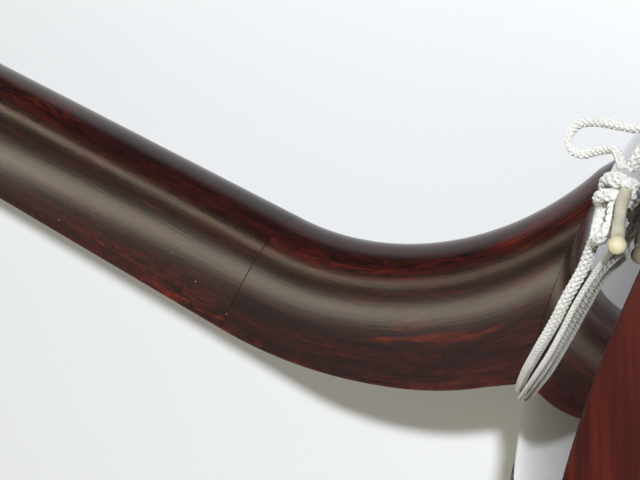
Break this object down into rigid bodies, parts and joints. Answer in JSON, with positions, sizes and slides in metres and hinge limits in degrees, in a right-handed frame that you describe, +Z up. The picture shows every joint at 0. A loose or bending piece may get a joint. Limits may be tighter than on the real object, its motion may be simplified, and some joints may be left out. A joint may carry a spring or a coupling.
{
  "type": "long-necked lute",
  "caption": "Three-string lute with a square skin-covered wooden body, a take-apart neck with a flared root, three pegs, a tail cord and a corded arm rest, without its strings.",
  "frame": {"origin": "middle of the arm rest's flat outer face, on which the instrument lies", "axes": "+X along the instrument to its tail, -Y the string side, +Z up to the knee side"},
  "size_m": [1.0163, 0.1154, 0.192],
  "materials": {
    "neck_wood": "polished",
    "end_wood": "mirror varnish",
    "side_wood": "mirror varnish",
    "skin": "satin",
    "patch": "satin",
    "arm_rest": "satin",
    "lining": "matt",
    "brass": "polished",
    "ebony": "polished",
    "tail_cord": "satin",
    "white_cord": "satin",
    "cream_cord": "satin",
    "bead": "satin"
  },
  "bodies": {
    "instrument": {"body_side_neck": "end_wood", "body_side_tail": "end_wood", "body_side_knee": "side_wood", "body_side_armrest": "side_wood", "front_skin": "skin", "back_skin": "skin", "plectrum_patch": "patch", "arm_rest": "arm_rest", "arm_rest_lining": "lining", "lower_neck": "neck_wood", "middle_neck": "neck_wood", "upper_neck": "neck_wood", "head": "neck_wood", "nut": "brass", "peg_seat_plates": "brass", "tail_cord": "tail_cord", "tail_cord_loop": "tail_cord", "arm_rest_cord": "white_cord", "arm_rest_thin_cord": "cream_cord", "back_tie_cord": "white_cord", "tail_tie_cord": "white_cord", "cord_knot": "white_cord", "cord_loop": "white_cord", "cord_tube": "cream_cord", "cord_bead": "bead"},
    "peg_1": {"peg_1": "ebony"},
    "peg_2": {"peg_2": "ebony"},
    "peg_3": {"peg_3": "ebony"}
  },
  "joints": [
    {"name": "peg_1_turn", "type": "hinge", "parent": "instrument", "child": "peg_1", "pos_m": [-0.7539, -0.0064, 0.096], "axis": [0, 0, -1], "continuous": true},
    {"name": "peg_2_turn", "type": "hinge", "parent": "instrument", "child": "peg_2", "pos_m": [-0.77875, -0.00231, 0.096], "axis": [0, 0, 1], "continuous": true},
    {"name": "peg_3_turn", "type": "hinge", "parent": "instrument", "child": "peg_3", "pos_m": [-0.80353, 0.00328, 0.096], "axis": [0, 0, -1], "continuous": true}
  ]
}
